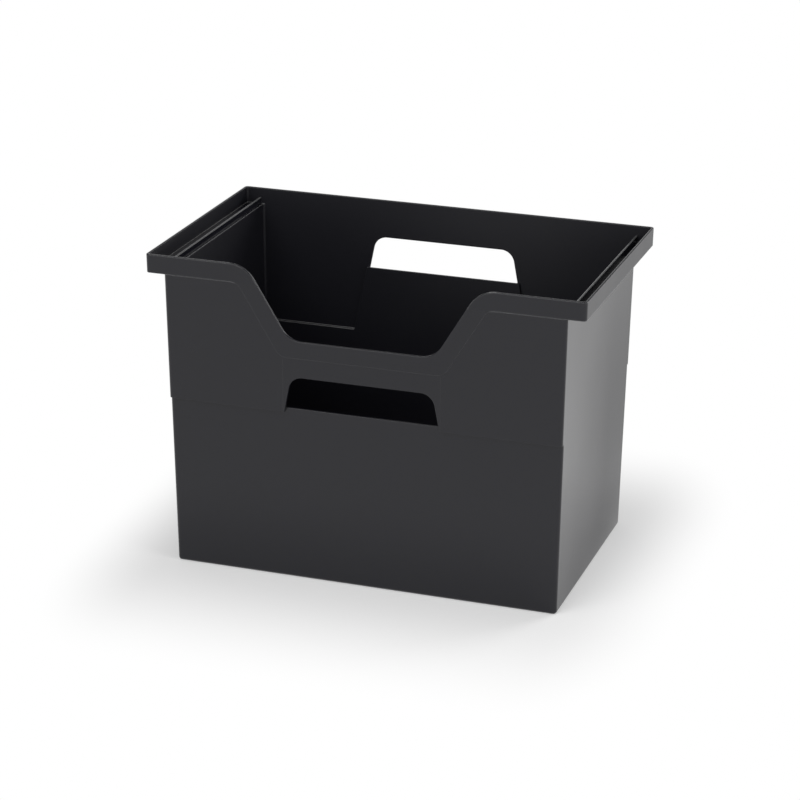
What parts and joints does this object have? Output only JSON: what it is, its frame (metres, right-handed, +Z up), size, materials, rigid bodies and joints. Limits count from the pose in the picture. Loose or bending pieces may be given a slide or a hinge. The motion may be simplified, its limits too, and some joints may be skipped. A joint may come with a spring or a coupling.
{
  "type": "portable file box",
  "caption": "Open-top file box with a low cutout in the front wall, a hand hole through each long wall and a moulded rail on a shelf at each end for hanging folders.",
  "frame": {"origin": "on the surface the box stands on, under the middle of its footprint", "axes": "+X along the length, +Y from the front wall with the cutout to the back wall, +Z up"},
  "size_m": [0.34, 0.2, 0.248],
  "materials": {
    "black_plastic": "moulded black plastic with a soft, slightly waved satin gloss"
  },
  "bodies": {
    "root": {"file_box": "black_plastic", "hanging_rail_left": "black_plastic", "hanging_rail_right": "black_plastic"}
  },
  "joints": []
}
